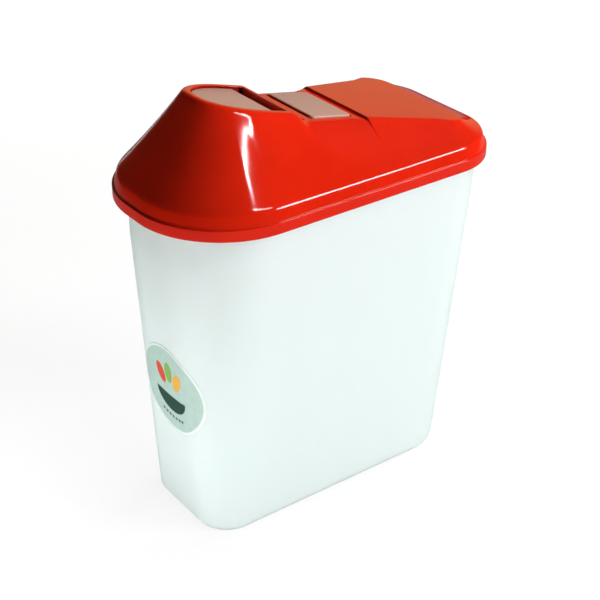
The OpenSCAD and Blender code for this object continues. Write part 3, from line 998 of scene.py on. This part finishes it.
def new_material(name):
    material = bpy.data.materials.new(name)
    material.use_nodes = True
    tree = material.node_tree
    tree.nodes.clear()
    return material, tree


def glossy_red_polypropylene():
    """Polypropylene coloured right through and moulded in a polished tool. The eye sees a
    deep even red and a clean gloss, with a faint ripple of shrinkage and patches that use
    has rubbed a little duller."""
    material, tree = new_material("moulded_polypropylene_red")
    where = add(tree, "TexCoord").outputs["Object"]
    flow = add(tree, "TexNoise", {
        "Vector": where, "Scale": across(38), "Detail": 2.0, "Roughness": 0.5})
    ripple = add(tree, "TexNoise", {
        "Vector": where, "Scale": across(9), "Detail": 1.0, "Roughness": 0.5})
    # The tool's polishing marks are much finer. They are drawn as coarse as they need to show.
    grain = add(tree, "TexNoise", {
        "Vector": where, "Scale": across(0.9), "Detail": 2.0, "Roughness": 0.5})
    rubbed = add(tree, "TexNoise", {
        "Vector": where, "Scale": across(16), "Detail": 6.0, "Roughness": 0.7})
    rippled = add(tree, "Bump", {"Height": ripple, "Distance": 0.015 * MM, "Strength": 1.0})
    surface = add(tree, "Bump", {
        "Height": grain, "Distance": 0.003 * MM, "Strength": 1.0, "Normal": rippled})
    drift = add(tree, "MapRange", {"Value": flow, **NOISE_MIDDLE, "To Min": 0, "To Max": 1})
    red = add(tree, "Mix", {0: drift, 6: linear("CD210C"), 7: linear("C51D09")},
              data_type="RGBA").outputs[2]
    gloss = add(tree, "MapRange", {
        "Value": rubbed, **NOISE_MIDDLE, "To Min": 0.05, "To Max": 0.09})
    shader = add(tree, "BsdfPrincipled", {
        "Base Color": red,
        "Roughness": gloss,
        "IOR": POLYPROPYLENE_IOR,
        "Subsurface Weight": 0.08,
        "Subsurface Radius": (4 * MM, 1 * MM, 0.5 * MM),
        "Normal": surface})
    add(tree, "OutputMaterial", {"Surface": shader})
    return material


def milky_polypropylene():
    """Polypropylene without colour, moulded thin enough for light to pass. The eye sees a
    cool milky white with soft clouds where the wall varies, and a satin sheen."""
    material, tree = new_material("moulded_polypropylene_natural")
    where = add(tree, "TexCoord").outputs["Object"]
    # The clouds are drawn out upwards, the way the plastic flowed
    drawn = add(tree, "Mapping", {"Vector": where, "Scale": (1, 1, 0.3)})
    wall = add(tree, "TexNoise", {
        "Vector": drawn, "Scale": across(30), "Detail": 3.0, "Roughness": 0.5})
    satin = add(tree, "TexNoise", {
        "Vector": where, "Scale": across(12), "Detail": 4.0, "Roughness": 0.6})
    wave = add(tree, "TexNoise", {
        "Vector": where, "Scale": across(26), "Detail": 1.0, "Roughness": 0.5})
    # The tool's fine matt texture, drawn as coarse as it needs to show
    grain = add(tree, "TexNoise", {
        "Vector": where, "Scale": across(0.8), "Detail": 2.0, "Roughness": 0.5})
    waved = add(tree, "Bump", {"Height": wave, "Distance": 0.12 * MM, "Strength": 1.0})
    surface = add(tree, "Bump", {
        "Height": grain, "Distance": 0.008 * MM, "Strength": 1.0, "Normal": waved})
    drift = add(tree, "MapRange", {"Value": wall, **NOISE_MIDDLE, "To Min": 0, "To Max": 1})
    white = add(tree, "Mix", {0: drift, 6: linear("F5F9FD"), 7: linear("F2F6FA")},
                data_type="RGBA").outputs[2]
    sheen = add(tree, "MapRange", {
        "Value": satin, **NOISE_MIDDLE, "To Min": 0.3, "To Max": 0.38})
    shader = add(tree, "BsdfPrincipled", {
        "Base Color": white,
        "Roughness": sheen,
        "IOR": POLYPROPYLENE_IOR,
        "Normal": surface})
    passed = add(tree, "BsdfTranslucent", {"Color": linear("E6F7ED"), "Normal": surface})
    # Less light passes where the wall is thicker
    passing = add(tree, "MapRange", {
        "Value": wall, **NOISE_MIDDLE, "To Min": 0.42, "To Max": 0.38})
    plastic = add(tree, "MixShader", {0: passing, 1: shader, 2: passed})
    add(tree, "OutputMaterial", {"Surface": plastic})
    return material


def smoky_polypropylene():
    """Polypropylene with a little smoke-brown dye, moulded thin. The eye sees a dusty pink
    plate, faintly clouded, with a soft satin sheen, that takes some light through it."""
    material, tree = new_material("moulded_polypropylene_smoke")
    where = add(tree, "TexCoord").outputs["Object"]
    wall = add(tree, "TexNoise", {
        "Vector": where, "Scale": across(14), "Detail": 3.0, "Roughness": 0.5})
    satin = add(tree, "TexNoise", {
        "Vector": where, "Scale": across(9), "Detail": 1.0, "Roughness": 0.5})
    wave = add(tree, "TexNoise", {
        "Vector": where, "Scale": across(14), "Detail": 0.0, "Roughness": 0.5})
    surface = add(tree, "Bump", {"Height": wave, "Distance": 0.012 * MM, "Strength": 1.0})
    drift = add(tree, "MapRange", {"Value": wall, **NOISE_MIDDLE, "To Min": 0, "To Max": 1})
    smoke = add(tree, "Mix", {0: drift, 6: linear("D6ADA1"), 7: linear("CBA194")},
                data_type="RGBA").outputs[2]
    sheen = add(tree, "MapRange", {
        "Value": satin, **NOISE_MIDDLE, "To Min": 0.3, "To Max": 0.36})
    shader = add(tree, "BsdfPrincipled", {
        "Base Color": smoke,
        "Roughness": sheen,
        "IOR": POLYPROPYLENE_IOR,
        "Normal": surface})
    passed = add(tree, "BsdfTranslucent", {"Color": linear("E2BCAA")})
    passing = add(tree, "MapRange", {
        "Value": wall, **NOISE_MIDDLE, "To Min": 0.35, "To Max": 0.25})
    plastic = add(tree, "MixShader", {0: passing, 1: shader, 2: passed})
    add(tree, "OutputMaterial", {"Surface": plastic})
    return material


# Ovals printed on the label, on its own plane in millimetres: middle across and up, half
# sizes, turn in degrees and ink. The bowl is an oval less another one, and under it lies a
# bent row of dots.
DARK_INK = "24453A"
BOWL = (0, -5, 16, 12, 0)
BOWL_CUT = (0, 1, 30, 6, 0)
GRAINS = [(-9, 9, 4.2, 7.5, 24, "D9A441"), (0, 12.5, 4.2, 7.5, 0, "7FA650"),
          (9, 9, 4.2, 7.5, -24, "C9482E")]
DOT_RADIUS = 1.1
DOT_PLACES = [3.6 * k for k in range(-3, 4)]
DOTS = [(x, -21.5 + 0.012 * x ** 2, DOT_RADIUS, DOT_RADIUS, 0, DARK_INK) for x in DOT_PLACES]
# How far the ink spreads at its edge, in millimetres
INK_SPREAD = 0.25


def printed_label():
    """Polypropylene film with a satin coat, printed in flat inks and cut round, with an
    unprinted edge. The eye sees a pale grey-green disc with a white rim and a soft sheen."""
    material, tree = new_material("printed_polypropylene_film")
    where = add(tree, "TexCoord").outputs["Object"]
    middle = (LABEL_X * MM, -LABEL_SHIFT * MM, LABEL_Z * MM)
    upwards = (-math.sin(LEAN), 0, math.cos(LEAN))
    centre = add(tree, "VectorMath", {0: where, 1: middle}, operation="SUBTRACT")
    up = add(tree, "VectorMath", {0: centre, 1: upwards},
             operation="DOT_PRODUCT").outputs["Value"]
    sideways = add(tree, "SeparateXYZ", {0: centre}).outputs["Y"]
    flat = add(tree, "CombineXYZ", {0: sideways, 1: up})

    def inside(cx, cy, rx, ry, turn):
        """1 inside an oval and 0 outside, with an edge as soft as spread ink."""
        local = add(tree, "Mapping", {"Vector": flat, "Location": (cx * MM, cy * MM, 0),
                                      "Rotation": (0, 0, math.radians(turn)),
                                      "Scale": (rx * MM, ry * MM, 1)}, vector_type="TEXTURE")
        away = add(tree, "VectorMath", {0: local}, operation="LENGTH").outputs["Value"]
        edge = INK_SPREAD / min(rx, ry)
        return add(tree, "MapRange", {"Value": away, "From Min": 1 + edge,
                                      "From Max": 1 - edge}).outputs[0]

    # The coat's fine texture, drawn as coarse as it needs to show
    coat = add(tree, "TexNoise", {
        "Vector": where, "Scale": across(0.6), "Detail": 3.0, "Roughness": 0.5})
    film_drift = add(tree, "MapRange", {"Value": coat, **NOISE_MIDDLE, "To Min": 0, "To Max": 1})
    film = add(tree, "Mix", {0: film_drift, 6: linear("DAE6DE"), 7: linear("D2DFD7")},
               data_type="RGBA").outputs[2]
    press = add(tree, "TexNoise", {
        "Vector": where, "Scale": across(5), "Detail": 2.0, "Roughness": 0.5})
    ground_drift = add(tree, "MapRange", {
        "Value": press, **NOISE_MIDDLE, "To Min": 0, "To Max": 1})
    ground = add(tree, "Mix", {0: ground_drift, 6: linear("A8C1B9"), 7: linear("A2BAB2")},
                 data_type="RGBA").outputs[2]
    printed = LABEL_RADIUS - LABEL_BORDER
    colour = add(tree, "Mix", {0: inside(0, 0, printed, printed, 0), 6: film, 7: ground},
                 data_type="RGBA").outputs[2]
    cut = inside(*BOWL_CUT)
    bowl = add(tree, "Math", {0: inside(*BOWL), 1: cut}, operation="SUBTRACT", use_clamp=True)
    colour = add(tree, "Mix", {0: bowl, 6: colour, 7: linear(DARK_INK)},
                 data_type="RGBA").outputs[2]
    for *oval, ink in GRAINS + DOTS:
        colour = add(tree, "Mix", {0: inside(*oval), 6: colour, 7: linear(ink)},
                     data_type="RGBA").outputs[2]
    satin = add(tree, "TexNoise", {
        "Vector": where, "Scale": across(3), "Detail": 3.0, "Roughness": 0.5})
    sheen = add(tree, "MapRange", {
        "Value": satin, **NOISE_MIDDLE, "To Min": 0.36, "To Max": 0.46})
    surface = add(tree, "Bump", {"Height": coat, "Distance": 0.01 * MM, "Strength": 1.0})
    shader = add(tree, "BsdfPrincipled", {
        "Base Color": colour,
        "Roughness": sheen,
        "IOR": FILM_IOR,
        "Normal": surface})
    add(tree, "OutputMaterial", {"Surface": shader})
    return material


BOARD_ROUGHNESS = 0.6
# How far from the middle the board starts to fade to white and is all white, in metres, and
# how much of the white glow the camera sees there
FADE_FROM = 0.5
FADE_TO = 1.3
GLOW_NEAR = 0.7
GLOW_FAR = 1.0
GLOW_STRENGTH = 1.15


def pale_floor():
    """Matt painted board, nearly white, that takes a soft shadow. It fades to the backdrop's
    white away from the product, and the gloss of the product mirrors it as a darker grey."""
    material, tree = new_material("painted_board")
    path = add(tree, "LightPath").outputs
    paint = add(tree, "BsdfDiffuse", {"Color": linear("D8D9D8"), "Roughness": BOARD_ROUGHNESS})
    dim = add(tree, "BsdfDiffuse", {"Color": linear("7A7A7A"), "Roughness": BOARD_ROUGHNESS})
    board = add(tree, "MixShader", {0: path["Is Glossy Ray"], 1: paint, 2: dim})
    glow = add(tree, "Emission", {"Color": linear("FFFFFF"), "Strength": GLOW_STRENGTH})
    where = add(tree, "TexCoord").outputs["Object"]
    away = add(tree, "VectorMath", {0: where}, operation="LENGTH").outputs["Value"]
    fade = add(tree, "MapRange", {"Value": away, "From Min": FADE_FROM, "From Max": FADE_TO,
                                  "To Min": GLOW_NEAR, "To Max": GLOW_FAR},
               interpolation_type="SMOOTHSTEP")
    seen = add(tree, "Math", {0: path["Is Camera Ray"], 1: fade}, operation="MULTIPLY")
    shown = add(tree, "MixShader", {0: seen, 1: board, 2: glow})
    add(tree, "OutputMaterial", {"Surface": shown})
    return material


# ---- the product -----------------------------------------------------------------------

container_shell(milky_polypropylene())
lid_hood(glossy_red_polypropylene())
rocking_flap(smoky_polypropylene())
round_label(printed_label())

# ---- stage, light and camera, in metres ------------------------------------------------

FLOOR_REACH = 4.0
# Just below the foot, so that the two faces don't share a plane
FLOOR_Z = -0.1 * MM

floor_mesh = bpy.data.meshes.new("floor")
floor_mesh.from_pydata([(x * FLOOR_REACH, y * FLOOR_REACH, FLOOR_Z)
                        for x, y in ((-1, -1), (1, -1), (1, 1), (-1, 1))], [], [(0, 1, 2, 3)])
floor_mesh.materials.append(pale_floor())
floor = bpy.data.objects.new("floor", floor_mesh)
bpy.context.collection.objects.link(floor)


def softbox(name, centre, along, aim, width, height, power, glint=True):
    """Rectangular lamp that faces aim, with its width in the direction along and its power
    in watts. Without a glint it lights the product, but glossy faces don't mirror it."""
    light = bpy.data.lights.new(name, "AREA")
    light.shape = "RECTANGLE"
    light.size = width
    light.size_y = height
    light.energy = power
    centre, along, aim = Vector(centre), Vector(along), Vector(aim)
    back = (centre - aim).normalized()
    side = (along - along.dot(back) * back).normalized()
    lamp = bpy.data.objects.new(name, light)
    turn = Matrix((side, back.cross(side), back)).transposed()
    lamp.matrix_world = Matrix.Translation(centre) @ turn.to_4x4()
    lamp.visible_camera = False
    lamp.visible_glossy = glint
    bpy.context.collection.objects.link(lamp)


STRIP_HEIGHT = 0.026
NOSE = (-0.065, -0.038, 0.265)


def strip_lamp(name, start, end, power):
    """Narrow lamp from start to end that faces the nose."""
    start, end = Vector(start), Vector(end)
    along = end - start
    softbox(name, (start + end) / 2, along, NOSE, along.length, STRIP_HEIGHT, power)


MIDDLE = Vector((0, 0, 0.2))
LEVEL = (1, 1, 0)


def from_middle(azimuth, elevation, distance):
    a, e = math.radians(azimuth), math.radians(elevation)
    towards = Vector((math.cos(a) * math.cos(e), math.sin(a) * math.cos(e), math.sin(e)))
    return MIDDLE + distance * towards


# Two narrow strips draw the bent glint on the corner of the nose, and the key draws the
# thin line along the crease above the skirt
strip_lamp("upper_strip", (0.62, -1.06, 1.3), (0.154, -1.01, 1.52), 2.8)
strip_lamp("lower_strip", (0.154, -1.0, 1.525), (0.22, -0.986, 1.518), 0.42)
softbox("key", from_middle(-50, 24, 1.6), LEVEL, MIDDLE, 0.56, 0.36, 15.2)
# The others fill in without an image of their own on the gloss
softbox("front", from_middle(-85, 3, 1.6), LEVEL, MIDDLE, 0.6, 0.36, 13, glint=False)
softbox("back", from_middle(5, 44, 1.8), (1, -1.5, 0), MIDDLE, 1.0, 0.8, 27, glint=False)
# Low lamp behind, whose light passes through the container's walls
softbox("through", (0.39, 1.45, 0.12), (1, -0.27, 0), (0, 0, 0.12), 0.8, 0.18, 18, glint=False)
# Small lamp low in front, which lifts the front wall and leaves the nose above it dark
softbox("bounce", (-0.32, -0.01, 0.045), (0.2, -1, 0), (-0.1, 0, 0.12), 0.34, 0.07, 0.72,
        glint=False)

# A dim warm room in front and a brighter backdrop behind, which the upper faces mirror: the
# direction of its middle, and the cosines of the angles from it at its edge and where it is
# brightest. The camera sees plain white.
BACKDROP_TOWARDS = (0.66, 0.74, 0.11)
BACKDROP_EDGE = 0.8
BACKDROP_MIDDLE = 0.97
ROOM_STRENGTH = 0.03
BACKDROP_STRENGTH = 0.5

world = bpy.data.worlds.new("studio")
bpy.context.scene.world = world
world.use_nodes = True
sky = world.node_tree
sky.nodes.clear()
outwards = add(sky, "TexCoord").outputs["Generated"]
towards = add(sky, "VectorMath", {0: outwards, 1: BACKDROP_TOWARDS},
              operation="DOT_PRODUCT").outputs["Value"]
brightness = add(sky, "MapRange", {"Value": towards, "From Min": BACKDROP_EDGE,
                                   "From Max": BACKDROP_MIDDLE, "To Min": ROOM_STRENGTH,
                                   "To Max": BACKDROP_STRENGTH},
                 interpolation_type="SMOOTHSTEP")
room = add(sky, "Background", {"Color": linear("FFDFA0"), "Strength": brightness})
white = add(sky, "Background", {"Color": linear("FFFFFF"), "Strength": 1.0})
seen_directly = add(sky, "LightPath").outputs["Is Camera Ray"]
shown = add(sky, "MixShader", {0: seen_directly, 1: room, 2: white})
add(sky, "OutputWorld", {"Surface": shown})

CAMERA_PLACE = (-0.4645, -0.6339, 0.5874)
CAMERA_TOWARDS = (0.511, 0.696, -0.505)
CAMERA_LENS_MM = 82.9
CAMERA_SENSOR_MM = 36

camera_data = bpy.data.cameras.new("camera")
camera_data.lens = CAMERA_LENS_MM
camera_data.sensor_width = CAMERA_SENSOR_MM
camera = bpy.data.objects.new("camera", camera_data)
camera.location = CAMERA_PLACE
camera.rotation_euler = Vector(CAMERA_TOWARDS).to_track_quat("-Z", "Y").to_euler()
bpy.context.collection.objects.link(camera)
bpy.context.scene.camera = camera

bpy.context.scene.view_settings.view_transform = "Standard"
